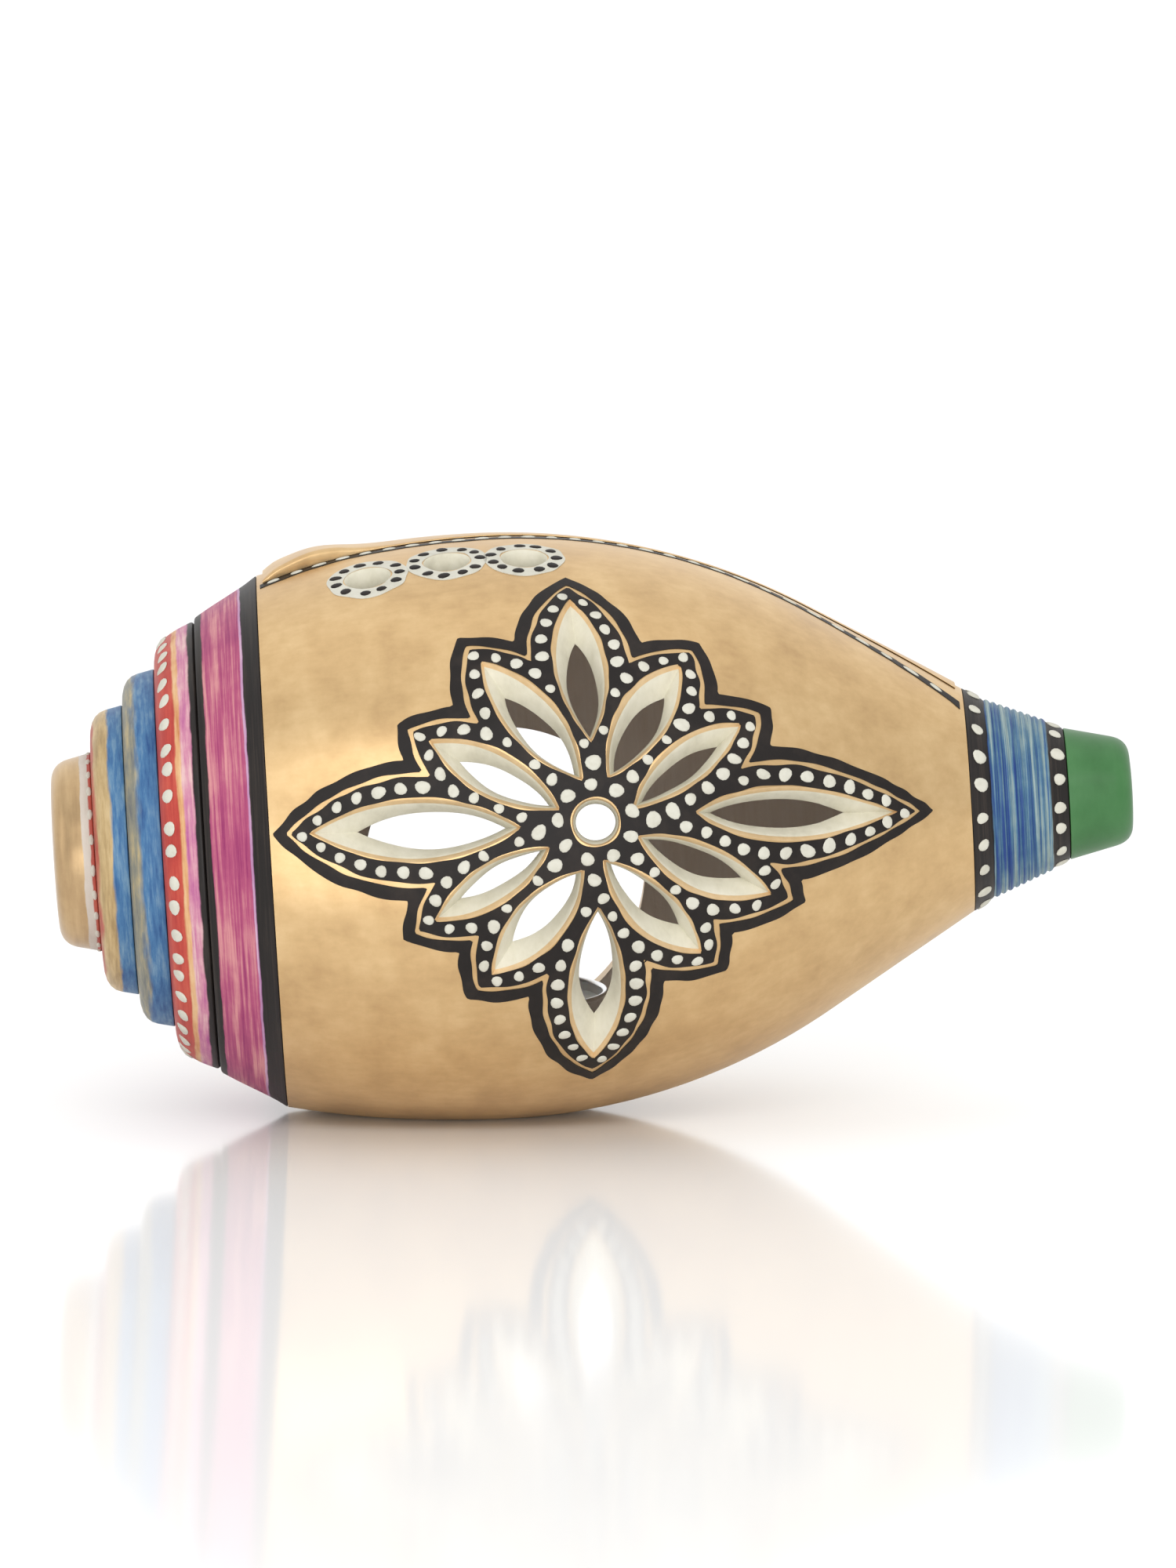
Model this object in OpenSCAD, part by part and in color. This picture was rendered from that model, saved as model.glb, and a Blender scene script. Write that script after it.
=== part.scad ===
// Conch-shaped pierced clay lamp, lying on its flattened side, with a tealight inside.
// X runs along the shell from the spire to the green tip, the pierced flower faces -Y, Z is up.
// The origin is in the middle of the flattened rest under the body. Units are millimetres.

/* [Shell] */
// radius of the body where it is widest
whorl_r = 51.2; // [45:0.2:62]
// distance along the shell from the origin to the widest place
widest = 10; // [0:1:20]
// radius of the long curve between the widest place and the spire
spire_side_curve = 180; // [120:5:260]
// radius of the long curve between the widest place and the neck
neck_side_curve = 110; // [90:5:140]
// half angle of the straight cone that runs into the neck
cone_angle = 31; // [26:1:34]
// place along the shell where the body ends on the spire side
body_start = -29.5; // [-34:0.5:-26]
// place along the shell where the body ends on the neck side
body_end = 93; // [88:1:112]
// thickness of the thrown clay
wall = 4.5; // [3.5:0.1:6]
// lift of the shell's axis towards the neck
axis_tilt = 3.3; // [0:0.1:6]
// depth of the flat rest, pressed into the underside
rest_cut = 1.7; // [1:0.1:3]
// length of the solid clay between the cavity and the neck
cone_plug = 13; // [10:1:16]

/* [Flower] */
// place of the flower's centre along the shell
flower_s = 27; // [22:1:34]
// angle of the flower's centre above the level of the axis
flower_rise = 9; // [0:1:20]
// size of the twelve petals against the drawn size
petal_scale = 1; // [0.8:0.05:1.05]
// narrowing of a petal per millimetre of depth, each side
petal_taper = 0.38; // [0.2:0.02:0.5]
// radius of the round centre hole at the outside
centre_hole_r = 4.4; // [3:0.2:5]
// radius of the round centre hole at the inside
centre_hole_inner_r = 3; // [2:0.2:4]
// radius of the three smoke vents
vent_r = 3.8; // [2.5:0.1:5]

/* [Mouth] */
// radius of the round mouth in the back
mouth_r = 25; // [23:0.5:30]
// place of the mouth along the shell
mouth_x = 12; // [8:1:14]
// height of the mouth's sill over the clay floor inside
sill = 3.4; // [2:0.2:6]
// width of the clay rim round the mouth
rim_w = 5; // [3:0.5:8]
// height of the rim over the body
rim_h = 2; // [1:0.5:4]
// thickness of the long lip along the top
lip_t = 1.2; // [0.8:0.2:3]
// extra thickness of the lip near the shoulder
lip_flare = 1.4; // [0:0.2:3]
// angle of the lip's back edge, from the front over the top
lip_to = 116; // [106:1:124]
// how far the lip's front edge lies behind the shell's axis at its furthest
lip_edge_y = 8; // [5:1:10]
// place along the shell of that furthest point
lip_edge_x = 36; // [28:1:44]
// radius of the front edge, seen from above
lip_edge_curve = 150; // [120:5:200]

/* [Spire] */
// length of the shoulder, from the body to the large whorl
shoulder_l = 11.5; // [9:0.5:14]
// radius of the shell where the shoulder meets the large whorl
shoulder_r = 40; // [37:0.5:42]
// length of the large whorl
large_l = 7.5; // [6:0.5:9]
// radius of the large whorl at its spire end
large_r = 34.5; // [32:0.5:37]
// length of the middle whorl
middle_l = 6; // [5:0.5:8]
// radius of the middle whorl
middle_r = 30.5; // [28:0.5:33]
// length of the small whorl
small_l = 6; // [5:0.5:8]
// radius of the small whorl
small_r = 24.5; // [22:0.5:27]
// length of the knob, the spire end of the whole lamp
knob_l = 7.5; // [6:0.5:10]
// radius of the knob
knob_r = 17.5; // [15:0.5:20]
// width of the ledge in each whorl that carries the next one
ring_ledge = 6; // [5:0.5:7]

/* [Neck] */
// radius of the neck behind its first black band
neck_r = 17.2; // [16:0.2:18.4]
// length of the first black band
band_l = 3.8; // [2:0.2:6]
// length of the neck
neck_l = 17.5; // [14:0.5:22]
// radius of the neck at its end
neck_end_r = 11.6; // [10:0.2:13]
// number of ribs left by the throwing
ribs = 9; // [5:1:14]
// height of one rib
rib_h = 0.4; // [0.2:0.1:0.8]
// length of the green tip, the neck end of the whole lamp
tip_l = 11.5; // [9:0.5:15]
// radius of the tip at its end
tip_r = 8.6; // [7:0.2:10]

/* [Tealight] */
// radius of the aluminium cup
cup_r = 19; // [16:0.1:23]
// height of the cup
cup_h = 14; // [11:0.5:15]
// thickness of the cup's sheet
sheet = 0.4; // [0.3:0.1:0.6]
// place of the tealight along the shell, from the middle of the mouth
tealight_shift = -2; // [-4:0.5:1]
// place of the tealight from the front to the back
tealight_y = -1; // [-3:0.5:1]
// radius of the tab that holds the wick
tab_r = 6.5; // [5:0.5:8]
// radius of the wick
wick_r = 0.8; // [0.6:0.1:1.2]
// length of the wick above the wax
wick_free = 8; // [5:0.5:9]

/* [Fits] */
// gap between two clay faces that are luted together
lute = 0.1; // [0.05:0.05:0.3]
// gap round a clay spigot in its bore
spigot_gap = 0.2; // [0.1:0.05:0.4]
// length of a clay spigot
spigot_l = 3.5; // [2:0.5:5]
// gap between the wax and its cup and tab
wax_gap = 0.1; // [0.05:0.05:0.2]
// gap between the cup's foot and the curved wall beside the clay floor
cup_gap = 0.6; // [0.4:0.1:2]

/* [Hidden] */
$fn = 96;

// depth that a cutter goes past the face it cuts
past = 1;
// half the size of a cutter that is larger than the whole lamp
reach = 3 * whorl_r;
// steps in each long curve of the body
curve_steps = 7;
// steps in the lip's outline
lip_steps = 28;
// share of the lip's thickness that is gone where it reaches the neck
lip_fall = 0.5;
// angle from which the lip's sheet is turned, well in front of its trimmed edge
lip_from = 66;
// place of the lip's thickest part from the body's spire end, and how far it spreads
lip_flare_at = 11;
lip_flare_l = 9;
// radius of the bore between the body and the neck
neck_bore_r = 7;
// radii of the bores that join the spire's rings
large_bore_r = middle_r - ring_ledge;
middle_bore_r = small_r - ring_ledge;
small_bore_r = knob_r - ring_ledge;
// radius of the bore in the neck
tip_bore_r = 5.5;

// end of the neck-side curve, where the straight cone starts, for a profile moved in by t
function cone_s(t) = widest + (neck_side_curve - t) * sin(cone_angle);
function cone_r(t) = whorl_r - neck_side_curve + (neck_side_curve - t) * cos(cone_angle);
// radius of the body at s
function arc_r(curve, s) = whorl_r - curve + sqrt(curve * curve - (s - widest) * (s - widest));
function cone_at(s) = cone_r(0) - (s - cone_s(0)) * tan(cone_angle);
function shell_r(s) = s < widest ? arc_r(spire_side_curve, s)
                    : s < cone_s(0) ? arc_r(neck_side_curve, s) : cone_at(s);
// slope of the body at s
function shell_slope(s) = s < widest ? asin((widest - s) / spire_side_curve)
                        : s < cone_s(0) ? -asin((s - widest) / neck_side_curve) : -cone_angle;
// radius across the curved surface in the direction a
function across_r(s, a) = 1 / (sin(a) * sin(a) / shell_r(s) + cos(a) * cos(a) / neck_side_curve);

body_start_r = shell_r(body_start);
bore_start_r = body_start_r - wall - 0.5;
body_end_r = shell_r(body_end);
cavity_end = body_end - cone_plug;

// places along the shell where the spire's rings, the neck and the tip meet and end
shoulder_s = body_start - shoulder_l;
large_s = shoulder_s - large_l;
middle_s = large_s - middle_l;
small_s = middle_s - small_l;
knob_s = small_s - knob_l;
neck_end = body_end + neck_l;
tip_end = neck_end + tip_l;

// height of the axis over the rest
axis_height = whorl_r - rest_cut;
// chamfer round the foot of the cup, and half the width that the clay floor needs for it
cup_foot = 1;
floor_half = cup_r - cup_foot - tealight_y + cup_gap;
// place of the tealight along the shell
tealight_x = mouth_x + tealight_shift;
// height of the flat clay floor inside, where the tealight stands
floor_height = axis_height + tealight_x * tan(axis_tilt)
             - sqrt(pow(whorl_r - wall, 2) - floor_half * floor_half);
// height of the mouth's centre over the rest
mouth_z = floor_height + sill + mouth_r;

// place along the shell, angle from the front, direction, length and width of each petal
petals = [
    [35.5, -1, -4, 35.5, 8.4],
    [16.5, 12, 38, 24, 6.8],
    [9.5, 22, 58, 25, 8],
    [-1, 33.5, 94, 29, 8.4],
    [-10, 21.5, 125, 27, 8.5],
    [-17, 10.5, 148, 24.5, 7.5],
    [-32, 0.5, 178, 37, 10.4],
    [-18.5, -11, -150, 22.5, 6.6],
    [-11, -19.5, -133, 23.5, 8.4],
    [-1.5, -35, -94, 30.5, 9],
    [9, -19.5, -51, 24.5, 7.6],
    [18.5, -12, -31, 25.5, 7.6]
];

// place along the shell and angle from the front of each vent
vents = [[-10, 73], [4, 76], [17.5, 76]];

// turns the shell's own axis, drawn along Z, into its place
module along_axis() {
    translate([0, 0, axis_height])
        rotate([0, 90 - axis_tilt, 0])
            children();
}

// puts a cutter, drawn along Z with its top outside, on the body's surface
module on_surface(s, angle, sink = 0) {
    rotate([0, 0, -90 - angle])
        translate([shell_r(s), 0, s])
            rotate([0, 90 + shell_slope(s), 0])
                translate([0, 0, -sink])
                    children();
}

// half outline of the body, moved in by t: two long curves in short steps, then the straight cone
module body_outline(t, from, to) {
    turn_a = asin((widest - from) / (spire_side_curve - t));
    spire_side = [
        for (i = [0:curve_steps - 1]) let (a = turn_a * (1 - i / curve_steps))
            [whorl_r - spire_side_curve + (spire_side_curve - t) * cos(a),
             widest - (spire_side_curve - t) * sin(a)]
    ];
    neck_side = [
        for (i = [0:curve_steps]) let (a = cone_angle * i / curve_steps)
            [whorl_r - neck_side_curve + (neck_side_curve - t) * cos(a),
             widest + (neck_side_curve - t) * sin(a)]
    ];
    polygon(concat(
        [[0, from]],
        spire_side,
        neck_side,
        [[cone_r(t) - (to - cone_s(t)) * tan(cone_angle), to], [0, to]]
    ));
}

// pointed oval that narrows inwards, from two cones side by side
module petal_cutter(l, w, sag) {
    half_l = l / 2;
    half_w = w / 2 - petal_taper * sag;
    curve = (half_l * half_l + half_w * half_w) / (2 * half_w);
    below = wall + 3;
    above = sag + 3;
    intersection_for (side = [-1, 1])
        translate([0, side * (curve - half_w), -below])
            cylinder(h = below + above,
                     r1 = curve - below * petal_taper,
                     r2 = curve + above * petal_taper);
}

module flower() {
    for (p = petals) {
        l = p[3] * petal_scale;
        sag = l * l / 8 / across_r(flower_s + p[0], p[2]);
        on_surface(flower_s + p[0], flower_rise + p[1], sag)
            rotate([0, 0, p[2]])
                petal_cutter(l, p[4] * petal_scale, sag);
    }
    on_surface(flower_s, flower_rise)
        translate([0, 0, -wall - past])
            cylinder(h = wall + 2 * past, r1 = centre_hole_inner_r, r2 = centre_hole_r);
}

module mouth_tube(r, from = 0) {
    translate([mouth_x, from, mouth_z])
        rotate([-90, 0, 0])
            cylinder(h = whorl_r + 20 - from, r = r);
}

module body_whorl() {
    color("goldenrod")
    difference() {
        along_axis()
            rotate_extrude()
                body_outline(0, body_start, body_end);
        intersection() {
            along_axis() {
                rotate_extrude()
                    body_outline(wall, body_start - past, cavity_end);
                translate([0, 0, cavity_end - past])
                    cylinder(h = body_end - cavity_end + 2 * past, r = neck_bore_r);
            }
            translate([-reach, -reach, floor_height])
                cube(2 * reach);
        }
        translate([-reach, -reach, -2 * reach])
            cube(2 * reach);
        along_axis() {
            translate([0, 0, body_start - past])
                cylinder(h = spigot_l + 2 * past, r = bore_start_r);
            flower();
            for (v = vents)
                on_surface(v[0], v[1])
                    translate([0, 0, -wall - 2 * past])
                        cylinder(h = wall + 4 * past, r = vent_r);
        }
        mouth_tube(mouth_r);
    }
}

module mouth_rim() {
    color("darkgoldenrod")
    intersection() {
        difference() {
            along_axis()
                rotate_extrude()
                    body_outline(-rim_h, body_start, body_end - 20);
            along_axis()
                rotate_extrude()
                    body_outline(-lute, body_start - past, body_end);
        }
        difference() {
            mouth_tube(mouth_r + rim_w, 10);
            mouth_tube(mouth_r + spigot_gap, 9);
        }
    }
}

// thickness of the long lip at s: thicker near the shoulder, thinner towards the neck
function lip_at(s) = lip_t * (1 - lip_fall * (s - body_start) / (body_end - body_start))
                   + lip_flare * exp(-pow((s - body_start - lip_flare_at) / lip_flare_l, 2));

module outer_lip() {
    from = body_start + 1;
    to = body_end - 1;
    step = (to - from) / lip_steps;
    outer = [for (i = [0:lip_steps]) let (s = from + i * step) [shell_r(s) + lip_at(s), s]];
    inner = [for (i = [0:lip_steps]) let (s = to - i * step) [shell_r(s) + 2 * lute, s]];
    color("darkgoldenrod")
    difference() {
        along_axis()
            rotate([0, 0, -90 - lip_to])
                rotate_extrude(angle = lip_to - lip_from)
                    polygon(concat(outer, inner));
        translate([lip_edge_x, lip_edge_y - lip_edge_curve, 0])
            cylinder(h = 3 * whorl_r, r = lip_edge_curve, $fn = 240);
    }
}

// ring of the spire: a rounded half outline turned round the axis, with a bore and a spigot
module spire_ring(outline, soft, bore_r, spigot_r, from, to) {
    along_axis()
        difference() {
            union() {
                rotate_extrude()
                    intersection() {
                        offset(r = soft) offset(delta = -soft) polygon(outline);
                        translate([0, from]) square([whorl_r, to - from]);
                    }
                translate([0, 0, to - past])
                    cylinder(h = spigot_l + past, r = spigot_r);
            }
            translate([0, 0, from - past])
                cylinder(h = to - from + spigot_l + 2 * past, r = bore_r);
        }
}

module shoulder_ring() {
    start_r = body_start_r;
    inner_start = shoulder_r - wall;
    color("mediumvioletred")
    along_axis()
        rotate_extrude()
            polygon([
                [inner_start, shoulder_s + lute],
                [shoulder_r, shoulder_s + lute],
                [shoulder_r + 1.5, shoulder_s + 2.5],
                [start_r - 1.6, body_start - 2.4],
                [start_r, body_start - lute],
                [bore_start_r - spigot_gap, body_start - lute],
                [bore_start_r - spigot_gap, body_start + spigot_l],
                [bore_start_r - spigot_gap - 3, body_start + spigot_l],
                [bore_start_r - spigot_gap - 3, body_start - 2],
                [inner_start, shoulder_s + 5]
            ]);
}

module spire_whorl_large() {
    color("crimson")
    spire_ring([
        [-large_r, large_s + lute], [large_r, large_s + lute], [shoulder_r, shoulder_s],
        [shoulder_r, shoulder_s + 4], [-large_r, shoulder_s + 4]
    ], 1.5, large_bore_r, shoulder_r - wall - spigot_gap, large_s + lute, shoulder_s);
}

module spire_whorl_middle() {
    color("steelblue")
    spire_ring([
        [-middle_r, middle_s + lute], [middle_r - 1, middle_s + lute],
        [middle_r, (middle_s + large_s) / 2], [middle_r + 1, large_s],
        [middle_r + 1, large_s + 4], [-middle_r, large_s + 4]
    ], 1.5, middle_bore_r, large_bore_r - spigot_gap, middle_s + lute, large_s);
}

module spire_whorl_small() {
    color("cornflowerblue")
    spire_ring([
        [-small_r, small_s + lute], [small_r - 1, small_s + lute],
        [small_r, (small_s + middle_s) / 2], [small_r + 1, middle_s],
        [small_r + 1, middle_s + 4], [-small_r, middle_s + 4]
    ], 1.5, small_bore_r, middle_bore_r - spigot_gap, small_s + lute, middle_s);
}

module apex_knob() {
    soft = 3;
    color("gold")
    along_axis() {
        rotate_extrude()
            intersection() {
                offset(r = soft) offset(delta = -soft)
                    polygon([
                        [-knob_r, knob_s], [knob_r - 1.5, knob_s], [knob_r, small_s],
                        [knob_r, small_s + 8], [-knob_r, small_s + 8]
                    ]);
                translate([0, knob_s]) square([knob_r, small_s - knob_s]);
            }
        translate([0, 0, small_s - past])
            cylinder(h = spigot_l + past, r = small_bore_r - spigot_gap);
    }
}

module neck() {
    from = body_end + lute;
    ribbed = body_end + band_l;
    rib = (neck_end - ribbed - 3) / ribs;
    fall = (neck_r - neck_end_r) / (neck_end - ribbed);
    ridges = [
        for (i = [0:ribs - 1]) each [
            [neck_r - fall * rib * i, ribbed + rib * i],
            [neck_r - fall * rib * (i + 0.3) + rib_h, ribbed + rib * (i + 0.3)],
            [neck_r - fall * rib * (i + 0.7) + rib_h, ribbed + rib * (i + 0.7)]
        ]
    ];
    color("royalblue")
    along_axis()
        difference() {
            union() {
                rotate_extrude()
                    polygon(concat(
                        [[0, from], [body_end_r, from]],
                        ridges,
                        [[neck_end_r + fall * 3, neck_end - 3], [neck_end_r, neck_end - lute],
                         [0, neck_end - lute]]
                    ));
                translate([0, 0, body_end - 2 * spigot_l])
                    cylinder(h = 2 * spigot_l + past, r = neck_bore_r - spigot_gap);
            }
            translate([0, 0, body_end - 2 * spigot_l - past])
                cylinder(h = neck_end - body_end + 2 * spigot_l + 2 * past, r = tip_bore_r);
        }
}

module neck_tip() {
    soft = 3.5;
    color("seagreen")
    along_axis() {
        rotate_extrude()
            intersection() {
                offset(r = soft) offset(delta = -soft)
                    polygon([
                        [-neck_end_r, neck_end - 8], [neck_end_r, neck_end - 8], [neck_end_r, neck_end],
                        [tip_r, tip_end], [-tip_r, tip_end]
                    ]);
                translate([0, neck_end]) square([neck_end_r + 1, tip_end - neck_end]);
            }
        translate([0, 0, neck_end - 2 * spigot_l])
            cylinder(h = 2 * spigot_l + past, r = tip_bore_r - spigot_gap);
    }
}

// turns the tealight, drawn at the origin, into its place on the clay floor
module on_floor() {
    translate([tealight_x, tealight_y, floor_height])
        children();
}

wax_r = cup_r - sheet - wax_gap;
wax_h = cup_h - 2.5;
tab_h = 0.4;
tube_r = wick_r + wax_gap + 0.5;
tube_h = 5;
wax_base = sheet + wax_gap;

module tealight_cup() {
    color("silver")
    on_floor()
        rotate_extrude()
            polygon([
                [0, 0], [cup_r - cup_foot, 0], [cup_r, cup_foot],
                [cup_r, cup_h - 0.8], [cup_r + 0.6, cup_h - 0.4],
                [cup_r + 0.4, cup_h], [cup_r - sheet, cup_h], [cup_r - sheet, 1.2],
                [cup_r - 1.2, sheet], [0, sheet]
            ]);
}

module tealight_wax() {
    color("ivory")
    on_floor()
        rotate_extrude()
            polygon([
                [tab_r + wax_gap, wax_base], [wax_r - 1, wax_base], [wax_r, wax_base + 1],
                [wax_r, wax_h + 0.5], [wax_r - 1, wax_h],
                [tube_r + wax_gap, wax_h], [tube_r + wax_gap, wax_base + tab_h + wax_gap],
                [tab_r + wax_gap, wax_base + tab_h + wax_gap]
            ]);
}

module wick_tab() {
    color("lightgray")
    on_floor()
        rotate_extrude()
            polygon([
                [wick_r + wax_gap, wax_base], [tab_r, wax_base], [tab_r, wax_base + tab_h],
                [tube_r, wax_base + tab_h], [tube_r, wax_base + tube_h],
                [wick_r + wax_gap, wax_base + tube_h]
            ]);
}

module wick() {
    color("white")
    on_floor()
        translate([0, 0, wax_base])
            cylinder(h = wax_h - wax_base + wick_free, r = wick_r, $fn = 24);
}

body_whorl();
mouth_rim();
outer_lip();
shoulder_ring();
spire_whorl_large();
spire_whorl_middle();
spire_whorl_small();
apex_knob();
neck();
neck_tip();
tealight_cup();
tealight_wax();
wick_tab();
wick();
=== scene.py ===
import random
from math import asin, cos, pi, radians, sin, tan

import bpy
import numpy as np
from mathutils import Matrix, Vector


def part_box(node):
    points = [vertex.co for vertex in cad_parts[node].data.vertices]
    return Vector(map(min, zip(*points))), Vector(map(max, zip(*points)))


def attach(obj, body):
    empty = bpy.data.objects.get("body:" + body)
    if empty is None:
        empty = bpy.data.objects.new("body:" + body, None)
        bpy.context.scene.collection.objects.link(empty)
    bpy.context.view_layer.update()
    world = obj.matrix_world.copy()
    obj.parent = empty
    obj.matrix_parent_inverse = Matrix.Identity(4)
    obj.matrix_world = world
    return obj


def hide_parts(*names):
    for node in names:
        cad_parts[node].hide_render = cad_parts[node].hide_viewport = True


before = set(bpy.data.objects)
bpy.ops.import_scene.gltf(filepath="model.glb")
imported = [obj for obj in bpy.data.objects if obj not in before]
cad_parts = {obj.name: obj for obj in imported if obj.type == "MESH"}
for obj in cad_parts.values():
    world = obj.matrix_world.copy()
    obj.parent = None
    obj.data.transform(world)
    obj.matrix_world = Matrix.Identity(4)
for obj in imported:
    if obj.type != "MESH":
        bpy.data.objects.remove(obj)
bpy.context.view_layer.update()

# ----------------------------------------
# Camera. A long lens a few metres away, a little above the lamp and facing the pierced flower.
# The lamp sits slightly below the middle of the upright frame, so the lens is shifted.
# ----------------------------------------
MM = 0.001
CAMERA_RISE = radians(9)
CAMERA_TURN = radians(1.1)
CAMERA_DISTANCE = 2.93
AIM = Vector((26.5, -49.3, 58.85)) * MM
LENS = 388.8
FRAME_SHIFT = (-0.005, 0.0243)

bpy.ops.object.camera_add()
camera = bpy.context.object
camera.name = "camera"
camera.data.lens = LENS
camera.data.sensor_width = 36
camera.data.shift_x, camera.data.shift_y = FRAME_SHIFT
camera.data.clip_end = 20
toward_camera = Vector((
    -sin(CAMERA_TURN) * cos(CAMERA_RISE),
    -cos(CAMERA_TURN) * cos(CAMERA_RISE),
    sin(CAMERA_RISE),
))
camera.location = AIM + toward_camera * CAMERA_DISTANCE
camera.rotation_euler = toward_camera.to_track_quat("Z", "Y").to_euler()
bpy.context.scene.camera = camera

# ----------------------------------------
# The table and the light. A plain white satin table, and a white room that is darker above and
# behind the camera. A long soft box in front draws the bright band along the gold, and a low
# fill in front, a soft box right above and a weak one at the left open the shadows.
# ----------------------------------------
TABLE_SIZE = 8
TABLE_GAP = 0.0002
TABLE_WHITE = (0.96, 0.96, 0.96, 1)
TO_BACKDROP = (0, 0.9, -0.3)
ROOM_RANGE = {"From Min": -0.8, "From Max": 0.6, "To Min": 0.62, "To Max": 1.22}
LIT_POINT = Vector((0.02, 0, 0.05))

bpy.ops.mesh.primitive_plane_add(size=TABLE_SIZE, location=(0, 0, -TABLE_GAP))
table = bpy.context.object
table.name = "table"
table_paint = bpy.data.materials.new("white table")
table_paint.use_nodes = True
table_shader = table_paint.node_tree.nodes["Principled BSDF"]
table_shader.inputs["Base Color"].default_value = TABLE_WHITE
table_shader.inputs["Roughness"].default_value = 0.1
table_shader.inputs["Specular IOR Level"].default_value = 0.38
table.data.materials.append(table_paint)


def wire(tree, kind, sockets, **settings):
    """Adds one shader node, sets it, and joins or fills its sockets."""
    made = tree.nodes.new(kind)
    for setting, value in settings.items():
        setattr(made, setting, value)
    for socket, value in sockets.items():
        if isinstance(value, bpy.types.NodeSocket):
            tree.links.new(value, made.inputs[socket])
        else:
            made.inputs[socket].default_value = value
    return made


room = bpy.data.worlds.new("white room")
room.use_nodes = True
room_light = room.node_tree.nodes["Background"]
room_light.inputs["Color"].default_value = (1, 1, 1, 1)
direction = wire(room.node_tree, "ShaderNodeTexCoord", {}).outputs["Generated"]
toward_backdrop = wire(room.node_tree, "ShaderNodeVectorMath", {
    0: direction, 1: TO_BACKDROP}, operation="DOT_PRODUCT").outputs["Value"]
brightness = wire(room.node_tree, "ShaderNodeMapRange", {"Value": toward_backdrop, **ROOM_RANGE})
room.node_tree.links.new(brightness.outputs[0], room_light.inputs["Strength"])
bpy.context.scene.world = room


def soft_box(name, place, width, height, power):
    """A rectangular soft light that looks at the lamp's middle."""
    bpy.ops.object.light_add(type="AREA", location=place)
    light = bpy.context.object
    light.name = name
    light.data.shape = "RECTANGLE"
    light.data.size = width
    light.data.size_y = height
    light.data.energy = power
    light.rotation_euler = (Vector(place) - LIT_POINT).to_track_quat("Z", "Y").to_euler()


soft_box("front soft box", (0.1, -1.1, 0.85), 1.5, 0.3, 6.5)
soft_box("low front fill", (0, -1.5, 0.2), 1.6, 0.35, 8)
soft_box("top soft box", (0, -0.1, 1.5), 1.8, 1.3, 2.5)
soft_box("left fill", (-1.4, -0.5, 0.5), 0.8, 0.9, 1.5)
bpy.context.scene.view_settings.view_transform = "Standard"

# ----------------------------------------
# Body. The big hollow whorl of red earthenware, thrown on the wheel and pressed flat underneath,
# with walls about 4.5 mm thick. The flower, the vents and the mouth are cut out while the clay
# is soft, each opening is chamfered with a knife, and the outside is brushed with gold paint.
# ----------------------------------------
TILT = radians(3.3)
AXIS_HEIGHT = 49.5
WHORL_R = 51.2
WIDEST = 10
SPIRE_CURVE = 180
NECK_CURVE = 110
CONE = radians(31)
BODY_START = -29.5
BODY_END = 93
WALL = 4.5
CAVITY_END = 80
CAVITY_END_R = 21
SPIGOT_L = 3.5
SPIGOT_GAP = 0.2
FLOOR_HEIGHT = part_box("tealight_cup")[0][2] / MM
SILL = 3.4
MOUTH_X = 12
MOUTH_R = 25
MOUTH_Z = FLOOR_HEIGHT + SILL + MOUTH_R
CLOUD = (9, 12)
GRAIN_SCALE = 1400

GOLD = [(0.50, 0.325, 0.155), (0.61, 0.415, 0.205), (0.71, 0.51, 0.27)]
PALE_GOLD = [(0.60, 0.42, 0.22), (0.70, 0.51, 0.29), (0.78, 0.60, 0.36)]
BARE_CLAY = [(0.64, 0.54, 0.45), (0.71, 0.62, 0.53), (0.76, 0.68, 0.60)]
CREAM = [(0.48, 0.46, 0.38), (0.57, 0.555, 0.475), (0.63, 0.62, 0.54)]
SLIP = [(0.55, 0.52, 0.41), (0.66, 0.63, 0.51), (0.73, 0.70, 0.59)]
BLACK = [(0.009, 0.007, 0.006), (0.013, 0.010, 0.009), (0.028, 0.021, 0.017)]


def place(along, angle, radius):
    """Points at a radius from the shell's axis, in metres. The angle goes from the front, over
    the top, to the back."""
    up = radius * np.sin(angle)
    return np.stack([
        cos(TILT) * along - sin(TILT) * up,
        -radius * np.cos(angle),
        AXIS_HEIGHT + sin(TILT) * along + cos(TILT) * up,
    ], axis=-1) * MM


def shell_r(along):
    """Radius of the body's outside, in millimetres: two long curves and a straight cone."""
    cone_from = WIDEST + NECK_CURVE * sin(CONE)
    cone_r = WHORL_R - NECK_CURVE + NECK_CURVE * cos(CONE)
    along = np.asarray(along, dtype=float)
    curve = np.where(along < WIDEST, SPIRE_CURVE, NECK_CURVE)
    on_curve = np.minimum(along, cone_from) - WIDEST
    arc = WHORL_R - curve + np.sqrt(curve ** 2 - on_curve ** 2)
    return np.where(along < cone_from, arc, cone_r - (along - cone_from) * tan(CONE))


def ramp(tree, factor, stops):
    """A colour ramp with a colour at each of its places."""
    made = wire(tree, "ShaderNodeValToRGB", {"Fac": factor})
    made.color_ramp.elements[0].position = stops[0][0]
    made.color_ramp.elements[0].color = (*stops[0][1], 1)
    made.color_ramp.elements[1].position = stops[-1][0]
    made.color_ramp.elements[1].color = (*stops[-1][1], 1)
    for where, colour in stops[1:-1]:
        made.color_ramp.elements.new(where).color = (*colour, 1)
    return made.outputs["Color"]


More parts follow.
